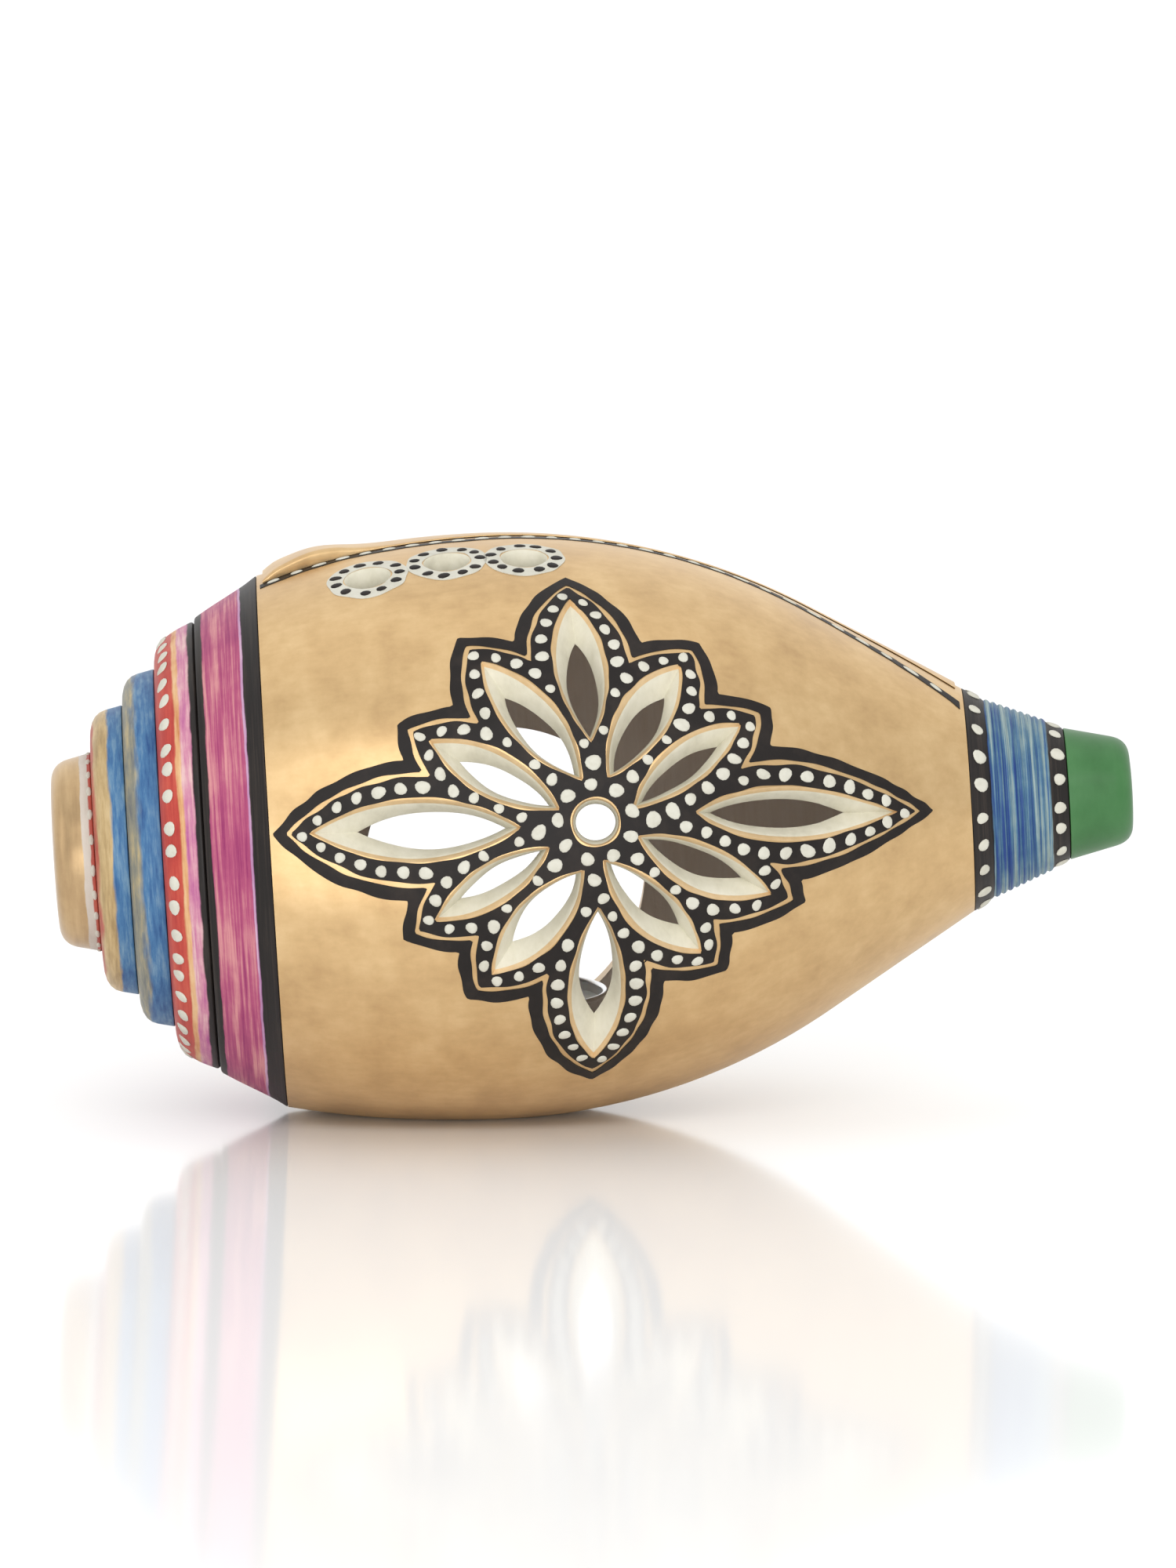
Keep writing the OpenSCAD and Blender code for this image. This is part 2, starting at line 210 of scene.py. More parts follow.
def brushed(name, zones, streak=(0.7, 25), wobble=0.5, mottle=0.5, gloss=0.4, relief=0.04,
            blend=0.12, contrast=0.2, drift=(4, 7)):
    """Paint brushed on while the piece turns, in zones along the shell's axis. A zone is the
    place where it ends, its dark, middle and light colours, how metallic and how rough it is.
    In millimetres: streak is a brush mark's width and length, wobble and blend are how far a
    zone's edge wanders and how soft it is, drift is the length of its waves along and round.
    Mottle mixes clouds into the streaks. A smaller contrast sets dark and light harder apart."""
    finish = bpy.data.materials.new(name)
    finish.use_nodes = True
    tree = finish.node_tree
    shader = tree.nodes["Principled BSDF"]
    here = wire(tree, "ShaderNodeTexCoord", {}).outputs["Object"]

    def on_shell(size_along, size_round):
        """Coordinates along and round the shell's axis, one unit for each size."""
        return wire(tree, "ShaderNodeMapping", {
            "Vector": here, "Location": (0, 0, AXIS_HEIGHT * MM), "Rotation": (0, -TILT, 0),
            "Scale": (size_along * MM, size_round * MM, size_round * MM)},
            vector_type="TEXTURE").outputs[0]

    def noise(vector, detail, roughness):
        return wire(tree, "ShaderNodeTexNoise", {
            "Vector": vector, "Scale": 1, "Detail": detail, "Roughness": roughness}).outputs["Fac"]

    def blended(factor, low, high):
        return wire(tree, "ShaderNodeMix", {0: factor, 2: low, 3: high}, data_type="FLOAT").outputs[0]

    streaks = noise(on_shell(*streak), 5, 0.6)
    clouds = noise(on_shell(*CLOUD), 7, 0.62)
    both = blended(mottle, streaks, clouds)
    along = wire(tree, "ShaderNodeSeparateXYZ", {0: on_shell(1, 1)}).outputs[0]
    ragged = noise(on_shell(*drift), 4, 0.55)
    shifted = wire(tree, "ShaderNodeMath", {
        0: ragged, 1: 2 * wobble, 2: along}, operation="MULTIPLY_ADD").outputs[0]
    colour = metal = rough = None
    for end, colours, metallic, roughness in reversed(zones):
        stops = zip((0.5 - contrast, 0.5, 0.5 + contrast), colours)
        tone = ramp(tree, both, list(stops))
        if colour is None:
            colour, metal, rough = tone, metallic, roughness
            continue
        past = wire(tree, "ShaderNodeMapRange", {
            "Value": shifted, "From Min": end + wobble - blend, "From Max": end + wobble + blend,
        }, interpolation_type="SMOOTHSTEP").outputs[0]
        colour = wire(
            tree, "ShaderNodeMix", {0: past, 6: tone, 7: colour}, data_type="RGBA").outputs[2]
        metal = blended(past, metallic, metal)
        rough = blended(past, roughness, rough)
    tree.links.new(colour, shader.inputs["Base Color"])
    if isinstance(metal, bpy.types.NodeSocket):
        tree.links.new(metal, shader.inputs["Metallic"])
    else:
        shader.inputs["Metallic"].default_value = metal
    spread = wire(tree, "ShaderNodeMath", {0: clouds, 1: 0.16, 2: rough}, operation="MULTIPLY_ADD")
    tree.links.new(spread.outputs[0], shader.inputs["Roughness"])
    shader.inputs["Specular IOR Level"].default_value = gloss
    grain = wire(
        tree, "ShaderNodeTexNoise", {"Vector": here, "Scale": GRAIN_SCALE, "Detail": 3}).outputs["Fac"]
    height = wire(tree, "ShaderNodeMath", {0: grain, 1: 0.4, 2: streaks}, operation="MULTIPLY_ADD")
    bump = wire(tree, "ShaderNodeBump", {
        "Strength": 0.35, "Distance": relief * MM, "Height": height.outputs[0]})
    tree.links.new(bump.outputs[0], shader.inputs["Normal"])
    return finish


gold_paint = brushed(
    "brushed gold paint", [(0, GOLD, 0.75, 0.3)], streak=(4, 1.8), mottle=0.7, relief=0.02)
gold_edge = brushed("gold paint on cut edges", [(0, PALE_GOLD, 0.5, 0.34)], streak=(2, 2))
bare_clay = brushed("bare clay", [(0, BARE_CLAY, 0, 0.8)], streak=(1, 12), gloss=0.1, relief=0.25)
cream_wall = brushed("cream slip", [(0, SLIP, 0, 0.55)], streak=(2, 3), gloss=0.3, relief=0.15)

MOST_ROUNDED = 0.49
MERGE_DISTANCE = 0.000005


def soften(corners, steps=5):
    """Rounds the corners of an outline. A corner is (place, radius) or (place, radius, rounding)."""
    points = []
    for i, corner in enumerate(corners):
        here = np.array(corner[:2], dtype=float)
        if len(corner) < 3:
            points.append(tuple(here))
            continue
        before = np.array(corners[i - 1][:2]) - here
        after = np.array(corners[(i + 1) % len(corners)][:2]) - here
        start = here + before * min(MOST_ROUNDED, corner[2] / np.linalg.norm(before))
        end = here + after * min(MOST_ROUNDED, corner[2] / np.linalg.norm(after))
        for t in np.linspace(0, 1, steps + 1):
            points.append(tuple((1 - t) ** 2 * start + 2 * t * (1 - t) * here + t * t * end))
    return points


def pick(piece):
    """Makes one piece the only selected and active one."""
    bpy.ops.object.select_all(action="DESELECT")
    bpy.context.view_layer.objects.active = piece
    piece.select_set(True)


def turn_round(name, outline, sides, closed):
    """Turns an outline of (radius, height) points round the Z axis."""
    if closed:
        outline = outline + outline[:1]
    bpy.ops.object.select_all(action="DESELECT")
    bpy.ops.mesh.primitive_plane_add(size=MM)
    turned = bpy.context.object
    turned.name = name
    bpy.ops.object.mode_set(mode="EDIT")
    bpy.ops.mesh.merge(type="CENTER")
    bpy.ops.transform.translate(value=(outline[0][0] * MM, 0, outline[0][1] * MM))
    for (radius, height), (next_radius, next_height) in zip(outline, outline[1:]):
        step = ((next_radius - radius) * MM, 0, (next_height - height) * MM)
        bpy.ops.mesh.extrude_vertices_move(TRANSFORM_OT_translate={"value": step})
    bpy.ops.mesh.select_all(action="SELECT")
    bpy.ops.mesh.spin(steps=sides, angle=2 * pi, center=(0, 0, 0), axis=(0, 0, 1))
    bpy.ops.mesh.select_all(action="SELECT")
    bpy.ops.mesh.remove_doubles(threshold=MERGE_DISTANCE)
    bpy.ops.mesh.normals_make_consistent(inside=False)
    bpy.ops.object.mode_set(mode="OBJECT")
    return turned


def throw(name, outline, sides=160, closed=True):
    """Turns an outline of (place, radius) points round the shell's axis, as clay on the wheel."""
    upright = [(radius, along) for along, radius in outline]
    thrown = turn_round(name, upright, sides, closed)
    thrown.rotation_euler = (0, pi / 2 - TILT, 0)
    thrown.location = (0, 0, AXIS_HEIGHT * MM)
    bpy.ops.object.transform_apply()
    return thrown


def cut_flat(piece, height):
    """Cuts a piece off level at a height and closes the cut."""
    pick(piece)
    bpy.ops.object.mode_set(mode="EDIT")
    bpy.ops.mesh.select_all(action="SELECT")
    bpy.ops.mesh.bisect(
        plane_co=(0, 0, height * MM), plane_no=(0, 0, 1), use_fill=True, clear_inner=True)
    bpy.ops.object.mode_set(mode="OBJECT")


def cut_away(piece, cutter):
    """Cuts one closed shape out of a piece, and the cut faces keep the cutter's finishes."""
    cut = piece.modifiers.new("cut", "BOOLEAN")
    cut.object = cutter
    cut.operation = "DIFFERENCE"
    cut.solver = "MANIFOLD"
    cut.material_mode = "TRANSFER"
    pick(piece)
    bpy.ops.object.modifier_apply(modifier="cut")
    bpy.data.objects.remove(cutter)


def smooth(piece, angle=35):
    """Smooth shading, with the edges sharper than the angle kept crisp."""
    pick(piece)
    bpy.ops.object.shade_smooth_by_angle(angle=radians(angle))


def shape(name, points, faces, finishes, which=None):
    """A piece from its corner points and faces, with a finish for each face."""
    mesh = bpy.data.meshes.new(name)
    mesh.from_pydata([tuple(p) for p in points], [], [tuple(int(i) for i in f) for f in faces])
    for finish in finishes:
        mesh.materials.append(finish)
    if which is not None:
        mesh.polygons.foreach_set("material_index", which)
    piece = bpy.data.objects.new(name, mesh)
    bpy.context.collection.objects.link(piece)
    return piece


def band(low, high, count):
    """The faces between two closed rings of points, from the numbers of their first points."""
    return [(low + i, high + i, high + (i + 1) % count, low + (i + 1) % count)
            for i in range(count)]


outside = [(BODY_START, 0), (BODY_START, float(shell_r(BODY_START)))]
outside += [(float(s), float(shell_r(s)))
            for s in np.arange(BODY_START + 1, BODY_END - 0.5, 1.5)]
outside += [(BODY_END, float(shell_r(BODY_END))), (BODY_END, 0)]
body = throw("thrown_body", outside, sides=240, closed=False)
body.data.materials.append(gold_paint)
cut_flat(body, 0)

start_bore = float(shell_r(BODY_START)) - WALL - 0.5
inside = [(BODY_START - 1, 0), (BODY_START - 1, start_bore), (BODY_START + 4, start_bore)]
inside += [(float(s), float(shell_r(s)) - WALL) for s in np.arange(BODY_START + 5, 64, 3)]
inside += soften([
    (66, float(shell_r(66)) - WALL), (CAVITY_END - 1, CAVITY_END_R, 5), (CAVITY_END, 0)])
cavity = throw("cavity", inside, sides=120, closed=False)
cavity.data.materials.append(bare_clay)
cut_flat(cavity, FLOOR_HEIGHT)
cut_away(body, cavity)

FLOWER_S = 27
FLOWER_RISE = 9
HOLE_R = 4.4
VENT_R = 3.8
VENTS = [(-10, 73), (4, 76), (17.5, 76)]
# A petal is its centre along the shell and round it, its direction, its length and its width.
PETALS = [
    (35, -1, -4, 34.5, 8.6), (16.5, 12, 38, 24, 6.8), (9.5, 22, 58, 25, 8),
    (-1, 33.5, 94, 29, 8.4), (-10, 21.5, 125, 27, 8.5), (-17, 10.5, 148, 24.5, 7.5),
    (-31.2, 0.5, 178, 35.4, 10.2), (-18.5, -11, -150, 22.5, 6.6), (-11, -19.5, -133, 23.5, 8.4),
    (-1.5, -36, -94, 32, 9), (9, -19.5, -51, 24.5, 7.6), (18.5, -12, -31, 25.5, 7.6),
]
PETAL_UNIT = 33
EDGE_CUT = 0.9
THROUGH = WALL + 1.4
UNEVEN = 0.12
MOUTH_CUT_Y = 45
MOUTH_CUT_L = 60


def surface_point(centre_s, centre_angle, turn, x, y, lift):
    """A point near the body's surface, from its place in an opening's own directions."""
    u = x * cos(turn) - y * sin(turn)
    v = x * sin(turn) + y * cos(turn)
    along = centre_s + u
    angle = centre_angle + v / float(shell_r(centre_s))
    return place(along, angle, shell_r(along) + lift)


def opening_cutter(centre_s, centre_angle, turn, outline, levels):
    """A closed plug for one opening. A level is its lift over the surface, how far it is grown
    along and across, how far it is moved along, and the finish that the cut below it gets."""
    points = []
    faces = []
    which = []
    count = len(outline(0, 0))
    for lift, grow_x, grow_y, shift, finish in levels:
        edge = outline(grow_x, grow_y)
        points.extend(surface_point(centre_s, centre_angle, turn, edge[:, 0] + shift, edge[:, 1], lift))
    for level in range(len(levels) - 1):
        faces.extend(band(level * count, (level + 1) * count, count))
        which.extend([levels[level][-1]] * count)
    for level, lift in ((0, levels[0][0]), (len(levels) - 1, levels[-1][0])):
        middle = len(points)
        points.append(surface_point(centre_s, centre_angle, turn, 0.0, 0.0, lift))
        for i in range(count):
            j = (i + 1) % count
            ends = (level * count + i, level * count + j)
            faces.append((middle, *ends) if level == 0 else (middle, *reversed(ends)))
            which.append(levels[level][-1])
    return points, faces, which


def lens(half_l, half_w, wave, steps=22):
    """The outline of a petal, a pointed oval of two arcs, cut by hand and so a little uneven."""
    def outline(grow_x, grow_y):
        a = half_l + grow_x
        b = max(half_w + grow_y, 0.5)
        curve = (a * a + b * b) / (2 * b)
        reach = asin(a / curve)
        turn = np.linspace(-reach, reach, steps, endpoint=False)
        uneven = UNEVEN * np.sin(turn / reach * 4.2 + wave) * (1 - (turn / reach) ** 2)
        x = curve * np.sin(turn)
        y = curve * np.cos(turn) - curve + b
        return np.concatenate([np.stack([-x, y + uneven], axis=-1), np.stack([x, uneven - y], axis=-1)])
    return outline


def disc(radius, steps=40):
    """The outline of a round opening."""
    def outline(grow_x, grow_y):
        turn = np.linspace(0, 2 * pi, steps, endpoint=False)
        return np.stack([(radius + grow_x) * np.cos(turn), (radius + grow_y) * np.sin(turn)], axis=-1)
    return outline


random.seed(12)
cutters = []
for centre, rise, direction, length, width in PETALS:
    slope = length / PETAL_UNIT
    levels = [
        (3, 1.2, 0.85, 0, 0), (0.35, 1.0, 0.7, 0, 0), (-0.35 - EDGE_CUT / 2, -0.1, -0.2, 0, 1),
        (-2.2, -2.2 * slope, -0.75, -1.3 * slope, 1), (-THROUGH, -6.0 * slope, -2.1, -3.3 * slope, 1),
    ]
    cutters.append(opening_cutter(
        FLOWER_S + centre, radians(FLOWER_RISE + rise), radians(direction),
        lens(length / 2, width / 2, random.uniform(0, 6)), levels))
cutters.append(opening_cutter(FLOWER_S, radians(FLOWER_RISE), 0, disc(HOLE_R), [
    (2, 0, 0, 0, 0), (0.2, -0.1, -0.1, 0, 0), (-0.5, -0.5, -0.5, 0, 1), (-THROUGH, -1.1, -1.1, 0, 1)]))
for along, angle in VENTS:
    cutters.append(opening_cutter(along, radians(angle), 0, disc(VENT_R), [
        (2, 0.7, 0.7, 0, 1), (0.3, 0.5, 0.5, 0, 1), (-0.7, -0.1, -0.1, 0, 1),
        (-THROUGH, -0.3, -0.3, 0, 1)]))
all_points = []
all_faces = []
all_which = []
for points, faces, which in cutters:
    base = len(all_points)
    all_points.extend(points)
    all_faces.extend([base + i for i in face] for face in faces)
    all_which.extend(which)
openings = shape("openings", all_points, all_faces, [gold_edge, cream_wall], all_which)
cut_away(body, openings)

bpy.ops.object.select_all(action="DESELECT")
bpy.ops.mesh.primitive_cylinder_add(
    vertices=120, radius=MOUTH_R * MM, depth=MOUTH_CUT_L * MM,
    location=(MOUTH_X * MM, MOUTH_CUT_Y * MM, MOUTH_Z * MM), rotation=(pi / 2, 0, 0))
mouth_cutter = bpy.context.object
mouth_cutter.data.materials.append(gold_edge)
bpy.ops.object.transform_apply()
cut_away(body, mouth_cutter)
smooth(body)
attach(body, "shell")
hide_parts("body_whorl")

# ----------------------------------------
# Painted flower. Black brushwork fills the ground between the petals, a gold line is left free
# round it, and a second black line follows the whole flower. Cream dots sit on the black ground.
# ----------------------------------------
black_paint = brushed("black brushwork", [(0, BLACK, 0, 0.42)], streak=(5, 6), mottle=0.35, gloss=0.22)
cream_paint = brushed("cream dots", [(0, CREAM, 0, 0.5)], streak=(1.5, 1.5), gloss=0.3, relief=0.1)
PAINT_LIFT = 0.12
PAINT_T = 0.3
# The paint's edges are petals grown at the tips and at the sides, and discs round the centre.
GROUND_INNER = (0.75, 0.6)
GROUND_OUTER = (3.9, 4.2)
GROUND_R = 16
CONTOUR_INNER = (4.9, 5.0)
CONTOUR_OUTER = (7.2, 7.3)
CONTOUR_R = 20
FLOWER_ALONG = (-33, 88)
FLOWER_ANGLES = (-66, 80)


def petal_reach(along, angle, tip, side):
    """How far a point of the surface lies inside the nearest petal grown at its tips and sides."""
    best = np.full(np.broadcast(along, angle).shape, -99.0)
    for centre, rise, direction, length, width in PETALS:
        centre_s = FLOWER_S + centre
        turn = radians(direction)
        u = along - centre_s
        v = (angle - radians(FLOWER_RISE + rise)) * float(shell_r(centre_s))
        x = u * cos(turn) + v * sin(turn)
        y = v * cos(turn) - u * sin(turn)
        a = length / 2 + tip
        b = width / 2 + side
        curve = (a * a + b * b) / (2 * b)
        best = np.maximum(best, curve - np.hypot(x, np.abs(y) + curve - b))
    return best


def from_centre(along, angle, centre_s=FLOWER_S, centre_angle=radians(FLOWER_RISE)):
    """Distance over the surface from a round opening's middle."""
    return np.hypot(along - centre_s, (angle - centre_angle) * float(shell_r(centre_s)))


def by_hand(along, angle, amount):
    """The small unevenness of a line drawn with a brush."""
    v = angle * WHORL_R
    waves = np.sin(0.9 * along + 2.1 * np.sin(0.4 * v)) + np.sin(1.15 * v + 2 * np.cos(0.33 * along))
    return amount * waves / 2


def ground_edges(along, angle):
    """How far a point lies inside the black ground's outer edge, and outside its openings."""
    middle = from_centre(along, angle)
    outer = np.maximum(petal_reach(along, angle, *GROUND_OUTER), GROUND_R - middle)
    return outer, np.minimum(-petal_reach(along, angle, *GROUND_INNER), middle - HOLE_R)


def ground(along, angle):
    """Positive on the black ground between the petals."""
    outer, free = ground_edges(along, angle)
    return np.minimum(outer + by_hand(along, angle, 0.2), free + by_hand(along, angle, 0.12))


def contour(along, angle):
    """Positive on the black line round the whole flower."""
    outer = petal_reach(along, angle, *CONTOUR_OUTER) + by_hand(along, angle, 0.2)
    inner = petal_reach(along, angle, *CONTOUR_INNER) + by_hand(along + 3, angle, 0.15)
    return np.minimum(outer, -np.maximum(inner, CONTOUR_R - from_centre(along, angle)))


def lay_paint(name, field, along_range, angle_range, finish, step=0.5):
    """Lays paint on the body wherever the field is positive, and gives it a small thickness."""
    along = np.arange(along_range[0], along_range[1], step)
    angle = np.arange(radians(angle_range[0]), radians(angle_range[1]), step / WHORL_R)
    grid_s, grid_a = np.meshgrid(along, angle, indexing="ij")
    value = field(grid_s, grid_a)
    value[np.abs(value) < 1e-6] = 1e-6
    points = []
    known = {}

    def corner(i, j):
        if (i, j) not in known:
            known[(i, j)] = len(points)
            points.append((along[i], angle[j]))
        return known[(i, j)]

    def crossing(p, q):
        key = (p, q) if p < q else (q, p)
        if key not in known:
            (i, j), (k, l) = key
            t = value[i, j] / (value[i, j] - value[k, l])
            t = min(max(t, 0.02), 0.98)
            known[key] = len(points)
            points.append((
                along[i] + t * (along[k] - along[i]), angle[j] + t * (angle[l] - angle[j])))
        return known[key]

    faces = []
    inside = value > 0
    touched = inside[:-1, :-1] | inside[1:, :-1] | inside[1:, 1:] | inside[:-1, 1:]
    for i, j in zip(*np.nonzero(touched)):
        ring = [(i, j), (i + 1, j), (i + 1, j + 1), (i, j + 1)]
        face = []
        for p, q in zip(ring, ring[1:] + ring[:1]):
            if inside[p]:
                face.append(corner(*p))
            if inside[p] != inside[q]:
                face.append(crossing(p, q))
        faces.append(face)
    s, a = np.array(points).T
    paint = shape(name, place(s, a, shell_r(s) + PAINT_LIFT), faces, [finish])
    pick(paint)
    bpy.ops.object.mode_set(mode="EDIT")
    bpy.ops.mesh.select_all(action="SELECT")
    bpy.ops.mesh.normals_make_consistent(inside=False)
    bpy.ops.object.mode_set(mode="OBJECT")
    middle = paint.data.polygons[len(paint.data.polygons) // 2]
    outward = Vector((0, middle.center.y, middle.center.z - AXIS_HEIGHT * MM))
    if middle.normal.dot(outward) < 0:
        paint.data.flip_normals()
    thickness = paint.modifiers.new("thickness", "SOLIDIFY")
    thickness.thickness = PAINT_T * MM
    thickness.offset = -1
    bpy.ops.object.modifier_apply(modifier="thickness")
    smooth(paint, 50)
    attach(paint, "shell")
    return paint


flower_ground = lay_paint("flower_ground", ground, FLOWER_ALONG, FLOWER_ANGLES, black_paint)
flower_contour = lay_paint("flower_contour", contour, FLOWER_ALONG, FLOWER_ANGLES, black_paint)

# A dab's rings, from its foot to near its top, and its top: share of its width, and height.
DAB_RINGS = [(1, -0.12), (0.97, 0.06), (0.8, 0.17), (0.45, 0.23)]
DAB_TOP = 0.25


def dabs(name, spots, radius_at, finish, sides=12):
    """Round or oval dabs of thick paint. A spot is its place, angle, half length along its own
    direction, half width, and direction."""
    points = []
    faces = []
    turn = np.linspace(0, 2 * pi, sides, endpoint=False)
    for along, angle, half_l, half_w, direction in spots:
        base = len(points)
        wave = random.uniform(0, 6)
        uneven = 1 + 0.06 * np.sin(2 * turn + wave) + 0.05 * np.sin(3 * turn + 2 * wave)
        for share, lift in DAB_RINGS:
            x = half_l * share * uneven * np.cos(turn)
            y = half_w * share * uneven * np.sin(turn)
            s = along + x * cos(direction) - y * sin(direction)
            v = x * sin(direction) + y * cos(direction)
            points.extend(place(s, angle + v / radius_at(along), radius_at(s) + PAINT_LIFT + lift))
        points.append(place(along, angle, radius_at(along) + PAINT_LIFT + DAB_TOP))
        for ring in range(len(DAB_RINGS) - 1):
            low = base + ring * sides
            faces.extend(band(low + sides, low, sides))
        top = base + (len(DAB_RINGS) - 1) * sides
        for i in range(sides):
            faces.append((top + i, top + (i + 1) % sides, top + sides))
        faces.append([base + i for i in reversed(range(sides))])
    dots = shape(name, points, faces, [finish])
    smooth(dots, 60)
    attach(dots, "shell")


# Nine dots stand round the centre hole. The others follow the middle of the black ground, each
# about a step from the last one, and are larger where there is more room.
DOT_STEP = 3.75
DOT_GRID = 0.35
CENTRE_DOTS = 9
CENTRE_DOTS_R = 6.6
CENTRE_DOT_R = 1.25
CENTRE_CLEAR = 9.4
LEAST_ROOM = 0.85
RIDGE_SLOPE = 0.75
FAR = 99
random.seed(5)
dots = []
for i in range(CENTRE_DOTS):
    turn = 2 * pi * (i + 0.35) / CENTRE_DOTS
    dots.append((FLOWER_S + CENTRE_DOTS_R * cos(turn),
                 radians(FLOWER_RISE) + CENTRE_DOTS_R * sin(turn) / 50, CENTRE_DOT_R))
fine = np.meshgrid(
    np.arange(*FLOWER_ALONG, DOT_GRID),
    np.arange(*(radians(angle) for angle in FLOWER_ANGLES), DOT_GRID / WHORL_R), indexing="ij")
space = np.minimum(*ground_edges(*fine))
steepness = np.hypot(*np.gradient(space, DOT_GRID, DOT_GRID))
ridge = (space > LEAST_ROOM) & (steepness < RIDGE_SLOPE) & (from_centre(*fine) > CENTRE_CLEAR)
free_spots = np.stack([fine[0][ridge], fine[1][ridge], space[ridge]], axis=-1)


def gaps_to(dot):
    """Distances from the free spots to one dot."""
    return np.hypot(free_spots[:, 0] - dot[0], (free_spots[:, 1] - dot[1]) * WHORL_R)


nearest = np.min([gaps_to(dot) for dot in dots], axis=0)
while (nearest >= DOT_STEP).any():
    score = np.where(nearest >= DOT_STEP, nearest - 0.6 * free_spots[:, 2], FAR)
    along, angle, room = free_spots[np.argmin(score)]
    dots.append((along, angle, min(max(0.72 * room, 0.95), 1.35)))
    nearest = np.minimum(nearest, gaps_to(dots[-1]))
spots = [
    (s, a, size * random.uniform(0.88, 1.16), size * random.uniform(0.85, 1), random.uniform(0, pi))
    for s, a, size in dots]
dabs("flower_dots", spots, shell_r, cream_paint)

# ----------------------------------------
# Vent rosettes. A cream ring is painted round each of the three smoke vents, with a circle of
# small black dabs on it.
# ----------------------------------------
ROSETTE_IN = 4.35
ROSETTE_OUT = 7.2
ROSETTE_DABS = 11
ROSETTE_DABS_R = 5.8
spots = []
for number, (along, angle) in enumerate(VENTS, 1):
    middle = radians(angle)

    def ring_field(s, a, along=along, middle=middle):
        gap = from_centre(s, a, along, middle)
        return np.minimum(gap - ROSETTE_IN, ROSETTE_OUT - gap) + by_hand(s, a, 0.2)

    rosette = lay_paint(f"rosette_{number}", ring_field, (along - 8, along + 8),
                        (angle - 9.5, angle + 9.5), cream_paint, step=0.35)
    for i in range(ROSETTE_DABS):
        turn = 2 * pi * (i + random.uniform(-0.15, 0.15)) / ROSETTE_DABS
        reach = ROSETTE_DABS_R + random.uniform(-0.2, 0.2)
        spots.append((along + reach * cos(turn), middle + reach * sin(turn) / float(shell_r(along)),
                      random.uniform(0.9, 1.15), random.uniform(0.7, 1.0), random.uniform(-0.3, 0.3)))
dabs("rosette_dabs", spots, shell_r, black_paint, sides=10)

# ----------------------------------------
# Mouth rim. A coil of clay pressed on round the mouth in the back, where the tealight goes in,
# rounded with a wet finger and painted like the body.
# ----------------------------------------
# The coil's outline: distance from the mouth's edge, and height over the body.
RIM_OUTLINE = [
    (0.25, -0.1), (0.25, 1.1), (0.6, 1.65), (1.3, 1.95), (2.2, 1.98), (3.1, 1.7), (3.9, 1.15),
    (4.6, 0.45), (5, -0.1),
]
RIM_STEPS = 150


def on_back(x, z, lift):
    """Points on the back of the body at a width and a height, lifted off it, in metres."""
    along = cos(TILT) * x + sin(TILT) * (z - AXIS_HEIGHT)
    up = cos(TILT) * (z - AXIS_HEIGHT) - sin(TILT) * x
    return np.stack([x, np.sqrt((shell_r(along) + lift) ** 2 - up ** 2), z], axis=-1) * MM


turn = np.linspace(0, 2 * pi, RIM_STEPS, endpoint=False)
points = []
for past_edge, lift in RIM_OUTLINE:
    radius = MOUTH_R + past_edge
    points.extend(on_back(MOUTH_X + radius * np.cos(turn), MOUTH_Z + radius * np.sin(turn), lift))
faces = []
for ring in range(len(RIM_OUTLINE)):
    faces.extend(band((ring + 1) % len(RIM_OUTLINE) * RIM_STEPS, ring * RIM_STEPS, RIM_STEPS))
rim = shape("pressed_mouth_rim", points, faces, [gold_paint])
smooth(rim, 60)
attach(rim, "shell")
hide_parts("mouth_rim")

# ----------------------------------------
# Outer lip. A long thin sheet of clay luted along the top, like the lip of a sea shell. Its
# front edge is trimmed to a long curve and rounded, and its back edge is wiped into the body.
# ----------------------------------------
LIP_BACK = radians(116)
LIP_T = 1.2
LIP_FLARE = 1.4
EDGE_Y = 8
EDGE_X = 36
EDGE_CURVE = 150
EDGE_W = 1.2
WIPED_W = 9
ACROSS = 40
LUTE = 0.2


def lip_edge(along):
    """Angle of the lip's front edge, an arc when seen from above."""
    edge_y = EDGE_Y - EDGE_CURVE + np.sqrt(EDGE_CURVE ** 2 - (along - EDGE_X) ** 2)
    return np.arccos(-edge_y / shell_r(along))


def lip_thickness(along):
    """Thickness of the lip. It thins towards the neck and swells near the shoulder."""
    from_start = along - BODY_START
    plain = LIP_T * (1 - 0.5 * from_start / (BODY_END - BODY_START))
    swelling = LIP_FLARE * np.exp(-((from_start - 10) / 7) ** 2)
    return (plain + swelling) * np.sin(np.clip(from_start / 4, 0.25, 1) * pi / 2)


